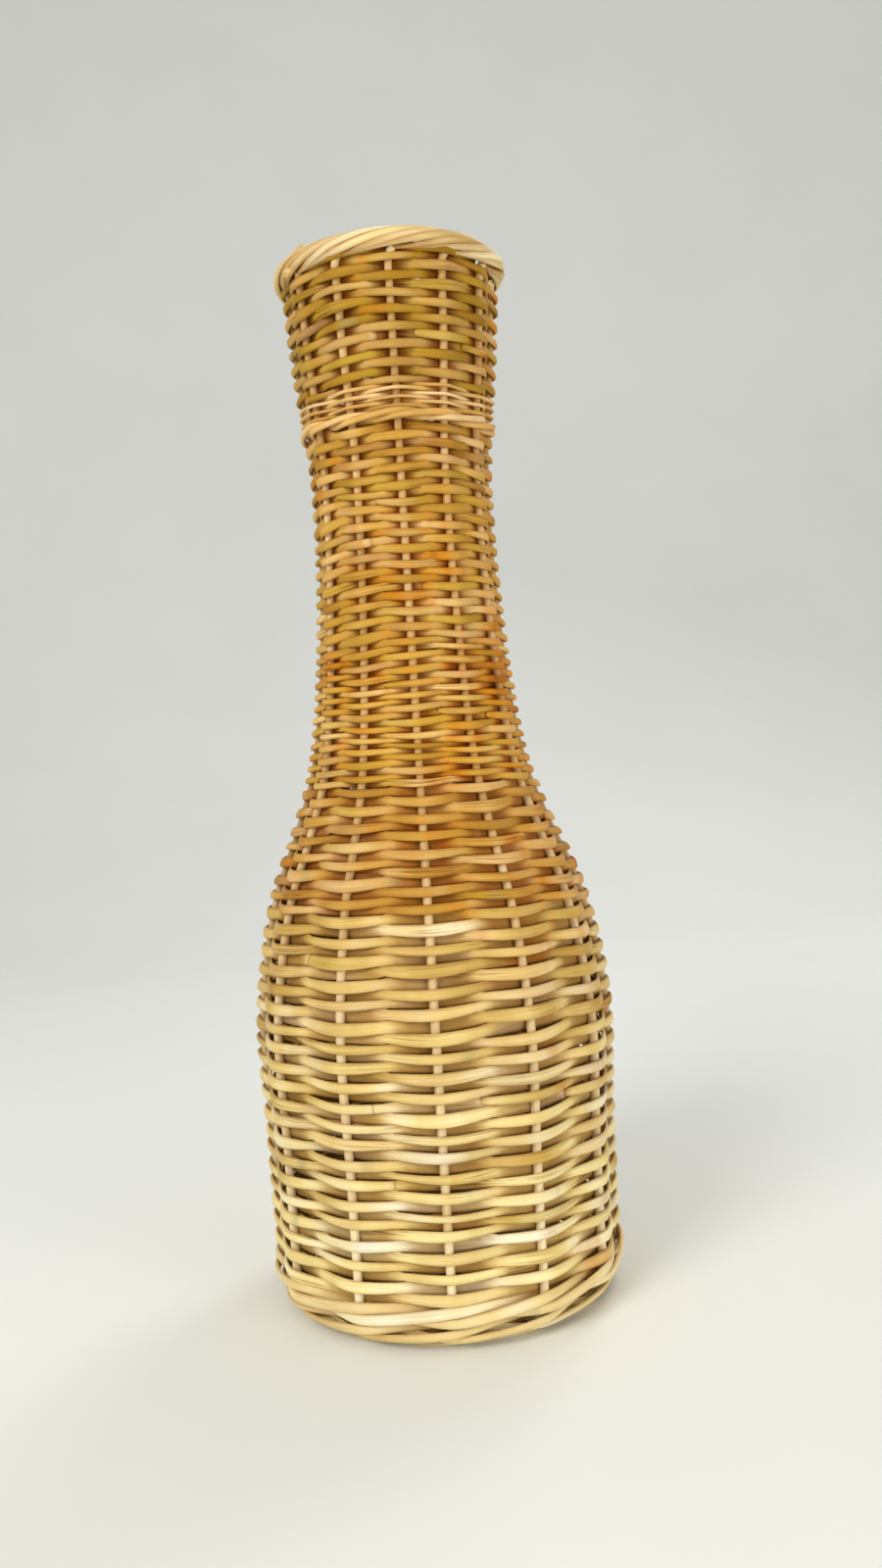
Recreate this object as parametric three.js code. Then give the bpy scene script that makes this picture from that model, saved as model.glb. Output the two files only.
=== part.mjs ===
// Wicker floor vase, in millimetres, +Z up. The origin is the middle of the foot, on the plane
// that it stands on. Long canes cross under the base and stand up as stakes. Strands wind up
// round them in one band two rows wide, and the ends of the stakes roll over into the rim.
import * as THREE from 'three';

// Canes and strands
const caneCount = 6;
const caneDiameter = 4.6;
const caneSides = 5;
const strandThickness = 2.8;
const clearance = 0.3;
const chordError = 0.15;
const longestCaneStep = 40;
const buttGap = 0.9;

// Outline of the outer face: radii, and how far each stage stands above the one before it
const cornerRadius = 18;
const baseRise = 4;
const bodyRadius = 104;
const bulgeSwell = 1.4;
const shoulderInset = 9.2;
const belly = { rise: 95, radius: bodyRadius };
const bulge = { rise: 70, radius: bodyRadius + bulgeSwell };
const shoulder = { rise: 63, radius: bodyRadius - shoulderInset };
const slope = { rise: 42, radius: 79 };
const flare = { rise: 43, radius: 65.8 };
const throat = { rise: 72, radius: 57.6 };
const neck = { rise: 90, radius: 54.8 };
const collar = { rise: 70, radius: 61 };
const rim = { rise: 56, radius: 69 };

// How far past a stage, or short of it, one kind of weaving gives way to the next
const footBandTop = 29.5;
const bodyPastShoulder = 3;
const shoulderShortOfFlare = 14;
const flareShortOfThroat = 10;
const weavePastNeck = 26;
const neckBandHeight = 6.5;
const fineWeaveHeight = 14.5;

// Weaving. A pitch is the distance from one row to the next.
const bodyPitch = 5.2;
const shoulderPitch = 4.9;
const flarePitch = 3.5;
const neckPitch = 4.5;
const neckBandPitch = 3.2;
const finePitch = 2.4;
const collarPitch = 4.5;
const baseWeaveStart = 31;
const footBandReach = 10.3;
const levelInset = 5.5;
const climbStakes = 3;
const bandStrands = 3;
const bandLead = 1;
const bodyPieceCount = 8;
const shoulderPieceCount = 3;
const flarePieceCount = 4;
const neckPieceCount = 3;
const collarPieceCount = 3;
const pressDepth = 0.5;
const bandBulge = 1;
const bandRoom = 0.8;

// Rolled rim: a rope of stake ends, each laid over so many stakes
const rimRopeRadius = 3.65;
const rimSpread = 4;
const rimElbow = 5;
const ropeEntry = -0.75 * Math.PI;
const ropeStart = 0.25;
const ropeEnd = rimSpread - 0.33;
const ropeStopsPerStake = 3;
const elbowStops = 4;

const stakeCount = 2 * caneCount;
const stakeStep = 2 * Math.PI / stakeCount;
const caneRadius = caneDiameter / 2;
const layerStep = caneDiameter + clearance;
const wallHalf = caneRadius + 2 * clearance + strandThickness;
// The seam lies at the back. The rows climb before it, and strands start and end past it.
const seamAngle = Math.PI / 2;

let height = 0;
for (const stage of [belly, bulge, shoulder, slope, flare, throat, neck, collar, rim]) {
  height += stage.rise;
  stage.height = height;
}

const materials = {
  stake: finish(0xe2c9a0, 0.55),
  base: finish(0xc9a567, 0.6),
  foot: finish(0xe0c893, 0.55),
  body: finish(0xc79c56, 0.55),
  shoulder: finish(0xb98a46, 0.55),
  flare: finish(0xb88539, 0.55),
  neck: finish(0xb6833a, 0.55),
  band: finish(0xdcb987, 0.55),
  collar: finish(0xaa8234, 0.6),
};

function finish(color, roughness) {
  return new THREE.MeshStandardMaterial({ color, roughness, metalness: 0 });
}

// The line that the stakes follow, from the middle of the base out and up to the rim
const cornerCentre = {
  radius: belly.radius - wallHalf - cornerRadius,
  height: wallHalf - pressDepth + cornerRadius,
};
const baseTilt = Math.atan(baseRise / cornerCentre.radius);
const profile = makeProfile();
const profileLength = profile.getLength();

function makeProfile() {
  const line = new THREE.Path();
  const start = -Math.PI / 2 - baseTilt;
  const cornerX = cornerCentre.radius + cornerRadius * Math.cos(start);
  const cornerY = cornerCentre.height + cornerRadius * Math.sin(start);
  line.moveTo(0, cornerY + cornerX * Math.tan(baseTilt));
  line.lineTo(cornerX, cornerY);
  line.absarc(cornerCentre.radius, cornerCentre.height, cornerRadius, start, 0, false);
  const stages = [belly, bulge, shoulder, slope, flare, throat, neck, collar];
  const points = stages.map((stage) => new THREE.Vector2(stage.radius - wallHalf, stage.height));
  points.push(new THREE.Vector2(stakeTop().radius, stakeTop().height));
  line.splineThru(points);
  return line;
}

// The middle of the rope that the rim is, and where a stake meets it from below
function rimCentre() {
  const reach = rimRopeRadius + caneRadius;
  return { radius: rim.radius - reach, height: rim.height - reach };
}

function stakeTop() {
  const centre = rimCentre();
  return {
    radius: centre.radius - rimRopeRadius,
    height: centre.height - rimRopeRadius * Math.SQRT1_2 - rimElbow,
  };
}

// Place, outward normal and bend of the line at the length s from the middle of the base
function along(s) {
  const probe = 0.5;
  const at = (length) => profile.getPoint(THREE.MathUtils.clamp(length / profileLength, 0, 1));
  const here = at(s);
  const before = at(s - probe);
  const after = at(s + probe);
  const run = after.clone().sub(before).normalize();
  const turn = after.clone().sub(here).angle() - here.clone().sub(before).angle();
  const bend = Math.abs(Math.atan2(Math.sin(turn), Math.cos(turn))) / probe;
  return { radius: here.x, height: here.y, outR: run.y, outZ: -run.x, bend };
}

// Length along the line where the wall reaches a height
function lengthAt(height) {
  let low = cornerCentre.radius;
  let high = profileLength;
  while (high - low > 0.01) {
    const middle = (low + high) / 2;
    if (along(middle).height < height) low = middle;
    else high = middle;
  }
  return low;
}

function polar(radius, angle, height) {
  return new THREE.Vector3(radius * Math.cos(angle), radius * Math.sin(angle), height);
}

// A closed solid through stations. Each holds its centre, its normal and its section, a
// counter-clockwise list of [outward, sideways] offsets. What would reach below the floor is
// pressed flat on it.
function strandGeometry(stations) {
  const sides = stations[0].section.length;
  const positions = [];
  const faces = [];
  stations.forEach((station, i) => {
    const before = stations[Math.max(i - 1, 0)].centre;
    const after = stations[Math.min(i + 1, stations.length - 1)].centre;
    const run = after.clone().sub(before).normalize();
    const outward = station.normal.clone().addScaledVector(run, -station.normal.dot(run)).normalize();
    const sideways = run.clone().cross(outward);
    for (const [out, side] of station.section) {
      const corner = station.centre.clone().addScaledVector(outward, out).addScaledVector(sideways, side);
      positions.push(corner.x, corner.y, Math.max(corner.z, 0));
    }
  });
  const last = (stations.length - 1) * sides;
  for (let ring = 0; ring < last; ring += sides) {
    for (let j = 0; j < sides; j += 1) {
      const a = ring + j;
      const b = ring + (j + 1) % sides;
      faces.push(a, b, b + sides, a, b + sides, a + sides);
    }
  }
  for (let j = 1; j < sides - 1; j += 1) {
    faces.push(0, j + 1, j);
    faces.push(last, last + j, last + j + 1);
  }
  const geometry = new THREE.BufferGeometry();
  geometry.setAttribute('position', new THREE.Float32BufferAttribute(positions, 3));
  geometry.setIndex(faces);
  geometry.computeVertexNormals();
  return geometry;
}

const group = new THREE.Group();

function addPiece(name, stations, material) {
  const mesh = new THREE.Mesh(strandGeometry(stations), material);
  mesh.name = name;
  group.add(mesh);
}

// Row plan: stretches of the line, each a whole number of turns of the band of two rows
const stretches = planStretches();

function planStretches() {
  const footStart = cornerCentre.radius - footBandReach;
  const footEnd = lengthAt(footBandTop);
  const bodyEnd = lengthAt(shoulder.height + bodyPastShoulder);
  const shoulderEnd = lengthAt(flare.height - shoulderShortOfFlare);
  const flareEnd = lengthAt(throat.height - flareShortOfThroat);
  const neckTop = neck.height + weavePastNeck;
  const neckEnd = lengthAt(neckTop);
  const bandEnd = lengthAt(neckTop + neckBandHeight);
  const fineEnd = lengthAt(neckTop + neckBandHeight + fineWeaveHeight);
  const plan = [
    { name: 'base', start: baseWeaveStart, end: footStart, pitch: bodyPitch },
    { name: 'foot', start: footStart, end: footEnd, pitch: bodyPitch, isBand: true },
    { name: 'body', start: footEnd, end: bodyEnd, pitch: bodyPitch },
    { name: 'shoulder', start: bodyEnd, end: shoulderEnd, pitch: shoulderPitch },
    { name: 'flare', start: shoulderEnd, end: flareEnd, pitch: flarePitch },
    { name: 'neck', start: flareEnd, end: neckEnd, pitch: neckPitch },
    { name: 'neckBand', start: neckEnd + bandRoom, end: bandEnd, pitch: neckBandPitch, isBand: true },
    { name: 'fine', start: bandEnd, end: fineEnd, pitch: finePitch },
    { name: 'collar', start: fineEnd, end: weaveEnd(), pitch: collarPitch },
  ];
  let turn = 0;
  let step = 0;
  for (const stretch of plan) {
    stretch.turns = Math.max(1, Math.round((stretch.end - stretch.start) / (2 * stretch.pitch)));
    stretch.firstTurn = turn;
    stretch.firstStep = step;
    turn += stretch.turns;
    stretch.lastTurn = turn;
    stretch.lastStep = turn * stakeCount;
    step = stretch.isBand ? bandRun(stretch).free : stretch.lastStep;
  }
  // The last turn of the collar lies level under the rim, half a turn below the end of its climb
  const top = plan[plan.length - 1];
  top.end = top.start + (top.end - top.start) * top.turns / (top.turns - 0.5);
  top.lastStep -= climbStakes + 1;
  return plan;
}

// Where a band starts, over how many stakes each strand runs, and the first stake past them all
function bandRun(stretch) {
  const from = stretch.firstTurn * stakeCount + bandLead;
  const count = Math.floor((stretch.turns * stakeCount - 1) / bandStrands) * bandStrands;
  return { from, count, free: from + count + bandStrands };
}

// The last row stays clear below the rope of the rim
function weaveEnd() {
  const ropeBottom = rim.height - 2 * (rimRopeRadius + caneRadius);
  return lengthAt(ropeBottom - clearance - collarPitch / 2);
}

// Turns climbed at a stake. The rows lie level, and climb to the next turn across the seam.
function climbedTurns(step) {
  const turns = step / stakeCount;
  const whole = Math.floor(turns);
  const climb = (turns - whole - 1) * stakeCount / climbStakes + 1;
  return whole + Math.max(0, climb);
}

// Length along the line of a row that has climbed so many turns from the base
function rowLength(turn) {
  const first = stretches[0];
  const last = stretches[stretches.length - 1];
  let stretch = stretches.find((each) => turn < each.lastTurn) ?? last;
  if (turn < first.firstTurn) stretch = first;
  const rise = (stretch.end - stretch.start) / stretch.turns;
  return stretch.start + (turn - stretch.firstTurn) * rise;
}

// Height of a strand's section, so that rows that cross between two stakes stay apart, also
// where the line bends and where the rows climb
function rowHeight(turn, place) {
  const here = rowLength(turn);
  const room = Math.min(rowLength(turn + 0.5) - here, here - rowLength(turn - 0.5));
  const climb = Math.atan2(2 * room, climbStakes * stakeStep * place.radius);
  return room * (1 - place.bend * strandThickness) * Math.cos(climb) - clearance;
}

// How far a strand's middle stands off the stake line, outside (+1) or inside (-1) the stake
function standOff(place, side) {
  const gap = 2 * place.radius * Math.sin(stakeStep / 2);
  const reach = caneRadius + clearance;
  const swing = Math.atan((2 * reach + strandThickness) / gap);
  const lean = Math.max(0, swing + side * Math.max(0, place.outR) * stakeStep / 2);
  return side * (strandThickness / 2 + reach / Math.cos(lean));
}

// A half-round strand: flat inside, a ridge outside
function ridged(height) {
  const half = height / 2;
  return [[strandThickness / 2, 0], [-strandThickness / 2, half], [-strandThickness / 2, -half]];
}

// A thick strand of the bands: a narrower face outside
function flatBacked(height) {
  const half = height / 2;
  const face = height / 4;
  const deep = strandThickness / 2;
  return [[deep, -face], [deep, face], [-deep, half], [-deep, -half]];
}

function placeStrand(step, s, offset, section) {
  const place = along(s);
  const angle = seamAngle + step * stakeStep;
  const out = offset(place);
  return {
    centre: polar(place.radius + out * place.outR, angle, place.height + out * place.outZ),
    normal: polar(place.outR, angle, place.outZ),
    section: section(place),
  };
}

// One strand over one stake and under the next. It starts and ends behind a stake, where it
// butts against the next piece. Row 0 is the lower strand of the band, row 0.5 the upper.
function chaseStrand(name, row, from, to, material) {
  const stations = [];
  for (let step = from; step <= to; step += 1) {
    const turn = climbedTurns(step) + row;
    const s = rowLength(turn);
    const radius = along(s).radius;
    const butt = buttGap / (2 * radius * stakeStep);
    const shift = (step === from ? butt : 0) - (step === to ? butt : 0);
    const side = (step - from) % 2 === 0 ? -1 : 1;
    stations.push(placeStrand(
      step + shift, s,
      (place) => standOff(place, side),
      (place) => ridged(rowHeight(turn, place)),
    ));
  }
  addPiece(name, stations, material);
}

// The pair of strands of one stretch, each in so many pieces. Strand a passes behind the odd
// stakes and strand b behind the even ones, so each piece starts and ends behind its own kind.
function chasePair(stretch, label, pieceCount, material) {
  const pair = [{ letter: 'a', row: 0, parity: 1 }, { letter: 'b', row: 0.5, parity: 0 }];
  for (const { letter, row, parity } of pair) {
    const ownStake = (step) => step + (step + parity) % 2;
    const start = ownStake(stretch.firstStep);
    const length = ownStake(stretch.lastStep) - start;
    const cut = (part) => start + 2 * Math.round(length * part / pieceCount / 2);
    for (let part = 0; part < pieceCount; part += 1) {
      const name = `${label}_${letter}${pieceCount > 1 ? part + 1 : ''}`;
      chaseStrand(name, row, cut(part), cut(part + 1), material);
    }
  }
}

// A band of three strands. Each goes behind one stake, comes out low, climbs across two stakes
// and goes in high, one stake later than its neighbour.
function threeStrandBand(stretch, label, material) {
  const { from, count } = bandRun(stretch);
  const climb = [0, -1, -1, 0, 1, 1];
  const side = [-1, 0, 1, 1, 1, 0];
  const proud = [0, 0, 0.5, 1, 0.5, 0];
  for (let strand = 0; strand < bandStrands; strand += 1) {
    const stations = [];
    for (let half = 0; half <= 2 * count; half += 1) {
      const phase = half % climb.length;
      const step = from + strand + half / 2;
      const turn = climbedTurns(step);
      const rowGap = (rowLength(turn + 0.5) - rowLength(turn)) / 2;
      const s = rowLength(turn + 0.25) + climb[phase] * rowGap;
      const bulgeHere = proud[phase] * bandBulge;
      stations.push(placeStrand(
        step, s,
        (place) => (side[phase] === 0 ? 0 : standOff(place, side[phase]) + bulgeHere),
        (place) => flatBacked(rowHeight(turn + 0.25, place)),
      ));
    }
    addPiece(`${label}_${strand + 1}`, stations, material);
  }
}

// One long cane: rim end, stake, base, stake, rim end
const lowerCanes = Math.ceil(caneCount / 2);

function makeCane(index) {
  const isLower = index < lowerCanes;
  const rank = isLower
    ? index - (lowerCanes - 1) / 2
    : index - lowerCanes - (caneCount - lowerCanes - 1) / 2;
  const lead = isLower ? 0 : Math.PI / 2;
  const level = (isLower ? -1 : 1) * layerStep / 2;
  const near = caneHalf(lead, rank, level);
  const far = caneHalf(lead + Math.PI, -rank, level);
  return [...far.reverse(), ...near];
}

// Stops along the line from a start to its top, as far apart as the chord error lets them be
function caneStops(start) {
  const stops = [];
  const strays = (from, to) => [0.25, 0.5, 0.75].some((share) => {
    const [a, b, c] = [from, from + share * (to - from), to].map(along);
    const chord = new THREE.Vector2(c.radius - a.radius, c.height - a.height);
    const reach = new THREE.Vector2(b.radius - a.radius, b.height - a.height);
    return Math.abs(chord.cross(reach)) / chord.length() > chordError;
  });
  let s = start;
  while (s < profileLength) {
    let next = s + 1;
    while (next < profileLength && next - s < longestCaneStep && !strays(s, next + 1)) next += 1;
    s = Math.min(next, profileLength);
    stops.push(s);
  }
  return stops;
}

// Half of a cane, from the crossing in the middle of the base to its end in the rim
function caneHalf(lead, rank, level) {
  const turnOff = rank * stakeStep;
  const angle = lead + turnOff;
  const bendRadius = rank === 0 ? layerStep / stakeStep : rank * layerStep / Math.sin(turnOff);
  const levelRadius = baseWeaveStart - levelInset;
  const points = [
    polar(bendRadius, angle, along(bendRadius).height + level),
    polar(levelRadius, angle, along(levelRadius).height),
  ];
  for (const s of caneStops(levelRadius / Math.cos(baseTilt))) {
    const place = along(s);
    points.push(polar(place.radius, angle, place.height));
  }
  return [...points, ...rimTail(angle, points[points.length - 1])];
}

// The end of a stake, bent to the side and laid once round the rope of the rim
function rimTail(angle, top) {
  const centre = rimCentre();
  const ropePoint = (stakes) => {
    const round = ropeEntry + stakes * 2 * Math.PI / rimSpread;
    return polar(
      centre.radius + rimRopeRadius * Math.cos(round),
      angle + stakes * stakeStep,
      centre.height + rimRopeRadius * Math.sin(round),
    );
  };
  const elbow = new THREE.QuadraticBezierCurve3(top, ropePoint(0), ropePoint(ropeStart));
  const points = elbow.getPoints(elbowStops).slice(1);
  const count = Math.round((ropeEnd - ropeStart) * ropeStopsPerStake);
  for (let i = 1; i <= count; i += 1) {
    points.push(ropePoint(THREE.MathUtils.lerp(ropeStart, ropeEnd, i / count)));
  }
  return points;
}

// Stations of a round cane through points, its section carried along without twisting
function roundCane(points) {
  const section = [];
  for (let j = 0; j < caneSides; j += 1) {
    const around = 2 * Math.PI * j / caneSides;
    section.push([caneRadius * Math.cos(around), caneRadius * Math.sin(around)]);
  }
  let normal = new THREE.Vector3(0, 0, -1);
  return points.map((centre, i) => {
    const before = points[Math.max(i - 1, 0)];
    const after = points[Math.min(i + 1, points.length - 1)];
    const run = after.clone().sub(before).normalize();
    normal = normal.clone().addScaledVector(run, -normal.dot(run)).normalize();
    return { centre, normal, section };
  });
}

for (let index = 0; index < caneCount; index += 1) {
  addPiece(`stake_cane_${index + 1}`, roundCane(makeCane(index)), materials.stake);
}

const woven = Object.fromEntries(stretches.map((stretch) => [stretch.name, stretch]));
chasePair(woven.base, 'base_weaver', 1, materials.base);
threeStrandBand(woven.foot, 'foot_band', materials.foot);
chasePair(woven.body, 'body_weaver', bodyPieceCount, materials.body);
chasePair(woven.shoulder, 'shoulder_weaver', shoulderPieceCount, materials.shoulder);
chasePair(woven.flare, 'flare_weaver', flarePieceCount, materials.flare);
chasePair(woven.neck, 'neck_weaver', neckPieceCount, materials.neck);
threeStrandBand(woven.neckBand, 'neck_band', materials.band);
chasePair(woven.fine, 'fine_weaver', 1, materials.band);
chasePair(woven.collar, 'collar_weaver', collarPieceCount, materials.collar);

export default group;
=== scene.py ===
import math
import bpy
import numpy as np
from mathutils import Matrix, Vector


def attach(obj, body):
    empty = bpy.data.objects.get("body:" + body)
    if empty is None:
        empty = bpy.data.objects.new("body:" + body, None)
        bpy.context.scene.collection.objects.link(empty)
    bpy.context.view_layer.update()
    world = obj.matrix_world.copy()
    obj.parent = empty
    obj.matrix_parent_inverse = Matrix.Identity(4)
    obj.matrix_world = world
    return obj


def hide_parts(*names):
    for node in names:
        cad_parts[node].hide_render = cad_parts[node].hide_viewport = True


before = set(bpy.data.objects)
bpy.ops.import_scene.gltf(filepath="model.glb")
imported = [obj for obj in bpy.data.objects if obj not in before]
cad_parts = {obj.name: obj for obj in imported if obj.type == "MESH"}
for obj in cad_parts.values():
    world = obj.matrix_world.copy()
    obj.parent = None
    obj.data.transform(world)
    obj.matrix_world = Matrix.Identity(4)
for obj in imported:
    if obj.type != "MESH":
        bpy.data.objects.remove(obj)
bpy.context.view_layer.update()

MM = 0.001

# Canes and strands, in millimetres
CANE_COUNT = 6
CANE_DIAMETER = 4.6
STRAND_THICKNESS = 2.8
CLEARANCE = 0.3
BUTT_GAP = 0.9

# Outline of the outer face, as (height, radius)
CORNER_RADIUS = 18
BASE_RISE = 4
BELLY = (95, 104)
BULGE = (165, 105.4)
SHOULDER = (228, 94.8)
SLOPE = (270, 79)
FLARE = (313, 65.8)
THROAT = (385, 57.6)
NECK = (475, 54.8)
COLLAR = (545, 61)
RIM = (601, 69)

# Heights where one kind of weaving gives way to the next
FOOT_BAND_TOP = 29.5
BODY_TOP = 231
SHOULDER_TOP = 299
FLARE_TOP = 375
NECK_TOP = 501
NECK_BAND_TOP = 507.5
FINE_TOP = 522

# Weaving. A pitch is the distance from one row to the next.
BODY_PITCH = 5.2
SHOULDER_PITCH = 4.9
FLARE_PITCH = 3.5
NECK_PITCH = 4.5
NECK_BAND_PITCH = 3.2
FINE_PITCH = 2.4
COLLAR_PITCH = 4.5
BASE_WEAVE_START = 31
BASE_WEAVE_END = 70
CLIMB_STAKES = 3
BAND_STRANDS = 3
BAND_LEAD = 1
PRESS_DEPTH = 0.5
BAND_BULGE = 1

# The weave of each stretch. pieces: how many pieces each strand comes in. bend: how round its bends
# are, from 0 for nearly straight runs to 1 for a sine. relief: how far it goes out and in, as a share
# of what clears the stakes. width, over, under: its width between stakes, and what it gains over a
# stake and behind one, in pitches. droop: how far it hangs down over a stake and rises behind one, in
# pitches. dark: the painted shade where it swings in behind the stakes and along its edges: how far
# behind the stakes, from 0 to 1, the painted shade starts and is deepest, how deep it is there, and
# how deep it is at its edges.
WEAVES = {
    "base": dict(pieces=1, bend=1.0, relief=0.85, width=0.95, over=0.02, under=0.3, droop=0,
                 dark=(0.1, 0.8, 0.6, 0.4)),
    "body": dict(pieces=8, bend=1.0, relief=0.85, width=0.9, over=0.28, under=1.1, droop=0.17,
                 dark=(0.05, 0.5, 0.62, 0.45)),
    "shoulder": dict(pieces=3, bend=0.8, relief=0.82, width=0.94, over=0.24, under=1.1, droop=0.2,
                     dark=(0.1, 0.6, 0.7, 0.45)),
    "flare": dict(pieces=4, bend=0.6, relief=0.78, width=0.96, over=0.2, under=1.0, droop=0.26,
                  dark=(0.3, 0.8, 0.85, 0.45)),
    "neck": dict(pieces=3, bend=0.4, relief=0.76, width=0.98, over=0.2, under=1.0, droop=0.3,
                 dark=(0.45, 0.8, 0.95, 0.45)),
    "fine": dict(pieces=1, bend=0.5, relief=0.82, width=0.95, over=-0.14, under=1.0, droop=0.2,
                 dark=(0.4, 0.8, 0.9, 0.3)),
    "collar": dict(pieces=3, bend=0.5, relief=0.78, width=0.96, over=0.2, under=1.1, droop=0.3,
                   dark=(0.3, 0.75, 0.95, 0.45)),
}
# Painted shade, set as each weave's dark is, for the bands and the rim strips, and a setting with none
BAND_PAINTED_SHADE = (0, 1, 0.8, 0.4)
RIM_PAINTED_SHADE = (0, 1, 0.5, 0.8)
NO_PAINTED_SHADE = (0, 1, 0, 0)

# How far the painted shade reaches in from a strand's edges, and how weak it is at its lower edge, so
# that its upper edge is painted darker
EDGE_REACH = 0.35
LOWER_EDGE = 0.6

# The bands of three strands, and the stretches that start over a band's ends, some stakes early
BANDS = ("foot", "neck_band")
AFTER_BANDS = ("body", "fine")
EARLY_STAKES = 2

# The drawn strands are flatter than the solids, so the wall lies a little farther out. Between two
# stakes it runs partly straight, as a share.
SWELL = 1.0
STRAIGHTEN = 0.5

# Lengths along the line between which the weave turns from even, at the base, to uneven. The stakes
# stop following the wall's waves this far below the rim.
EVEN_LENGTH = 110
UNEVEN_LENGTH = 140
STEADY_LENGTH = 30

# A strand droops least at the foot, as a share, and fully from a height on
LEAST_DROOP = 0.3
DROOP_START = 20
FULL_DROOP = 140

# A strand's section: its depth as a share of its thickness, and how flat it is inside
STRAND_DEPTH = 0.95
STRAND_FLAT = 0.75

# Powers of how far a strand swings. The first, where bends aren't round, keeps it out or in for a
# shorter way. The others let it gain its width over a stake, or behind one, sooner.
STRAIGHT_POWER = 1.25
OVER_POWER = 0.7
UNDER_POWER = 0.5

# At the end of the neck, where the rows spread apart, strands are wider, most of all behind the
# stakes, in pitches. Each gain is gone at the first distance and full at the second.
NECK_END_WIDTH = 0.3
NECK_END_FADE = (5, 0)
NECK_END_COVER = 0.8
NECK_END_COVER_FADE = (12, 4)

# A new piece starts past a stake, over the end of the last one, and is lifted there as far as the
# end is sunk. Lengths are in stakes.
LAP_START = 0.42
LAP_END = 0.62
LAP_LIFT = 1.1
LAP_RUN_IN = 0.5
LAP_RUN_OUT = 0.4

# A strand narrows at its ends to a share of its width, over a part of a stake
END_WIDTH = 0.55
END_LENGTH = 0.1125

# A band's strands go on past both ends of their run, in stakes, and are wider, more so behind the
# stakes, and thicker, as shares
BAND_EARLY = 1
BAND_LATE = 0.6
BAND_WIDTH = 1.12
BAND_COVER = 0.6
BAND_DEPTH = 1.1

# Canes come level with the line some diameters short of the base weave, and follow it a step later
CROSSING_LEAD = 1.2
CROSSING_STEP = 3

# The stakes are thicker low down, by a share
THICKER = 0.1
THIN_HEIGHT = 300
THICK_HEIGHT = 150

# Rolled rim. The stakes' line ends below it, by the elbow, and is carried on by the reach, leaning
# out. The weave is tucked up behind it. A cane comes in at the lower inside, and its end is laid once
# round, over the spread in stakes.
RIM_ROPE_RADIUS = 3.65
RIM_SPREAD = 4
RIM_START = -0.75 * math.pi
RIM_ENTRY = 0.12
RIM_ELBOW = 5
RIM_TUCK = 6
RIM_REACH = 12
RIM_LEAN = 0.15
RIM_LIFT = 1.7

# A cane's end lies in the rim as two strips, one shifted back and one ahead by a part of a stake. A
# strip that stands out by more than STRIP_LIT gets no painted shade along its middle; one that lies
# deeper gets painted shade. The last three are ranges, between which each strip is earlier or later,
# stands out more or less, and ends short.
STRIP_WIDTH = 4.3
STRIP_DEPTH = 2.5
STRIP_FLAT = 0.8
STRIP_START = 0.02
STRIP_GROWTH = 0.5
STRIP_LEAST = 0.75
STRIP_SHORT = 0.3
STRIP_SHIFT = 0.26
STRIP_PROUD = 0.5
STRIP_LIT = 0.4
STRIP_POINTS = 60
STRIP_EARLY = (-0.07, 0.07)
STRIP_LEVEL = (-0.5, 0.6)
STRIP_CUT = (-0.5, 0)

# At one stake, named by its angle in degrees, a strip ends early and its narrow tip stands off
TIP_STAKE = 150
TIP_END = 2.3
TIP_RISE = 4.0
TIP_BEND = 0.35
TIP_LENGTH = 0.3
TIP_WIDTH = 0.6

# At another the cut end of a cane comes out under the rim, at a slant
CUT_STAKE = 210
CUT_SHIFT = 0.03
CUT_SLANT = -0.7
CUT_INSIDE = -6
CUT_OUTSIDE = 7.8
CUT_DIAMETER = 4.2
CUT_POINTS = 5

# Worked out from the sizes above
STAKE_COUNT = 2 * CANE_COUNT
STAKE_STEP = 2 * math.pi / STAKE_COUNT
CANE_RADIUS = CANE_DIAMETER / 2
LAYER_STEP = CANE_DIAMETER + CLEARANCE
WALL_HALF = CANE_RADIUS + 2 * CLEARANCE + STRAND_THICKNESS
CORNER_CENTRE = BELLY[1] - WALL_HALF - CORNER_RADIUS
SEAM_ANGLE = math.pi / 2

# Fineness of the drawn canes
SIDES = 10
STRAND_STEPS = 10
CANE_SPACING = 2.4
LINE_STEPS = 60
BASE_STEPS = 40

# Added to a cane's number for each thing that wanders along it
WIDTH_SEED = 500
DEPTH_SEED = 900
TWIST_SEED = 1300
STRIP_WIDTH_SEED = 40
STRIP_DEPTH_SEED = 80
STRIP_TWIST_SEED = 120

random = np.random.default_rng(7)
seed_count = 0


def next_seed():
    global seed_count
    seed_count += 1
    return seed_count


# Values and lines
def rise(value, start, end):
    """0 at the start and before it, 1 at the end and past it. The end may be the lower of the two."""
    return np.clip((value - start) / (end - start), 0, 1)


def polar(radius, angle, height):
    return np.array([radius * math.cos(angle), radius * math.sin(angle), height])


def distances(points):
    """How far along a line each of its points lies."""
    return np.concatenate([[0], np.cumsum(np.linalg.norm(np.diff(points, axis=0), axis=1))])


def directions(points):
    """Which way a line runs at each of its points."""
    runs = np.gradient(points, axis=0)
    return runs / np.linalg.norm(runs, axis=1)[:, None]


def soften(points):
    """Rounds a line, twice, by averaging each point with its neighbours."""
    for _ in range(2):
        points[1:-1] = (points[:-2] + 2 * points[1:-1] + points[2:]) / 4


def carried_normals(points):
    """Normals that start out straight down and are carried along a line without twisting."""
    normal = np.array([0, 0, -1.0])
    normals = []
    for run in directions(points):
        normal = normal - run * np.dot(normal, run)
        normal = normal / np.linalg.norm(normal)
        normals.append(normal)
    return np.array(normals)


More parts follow.
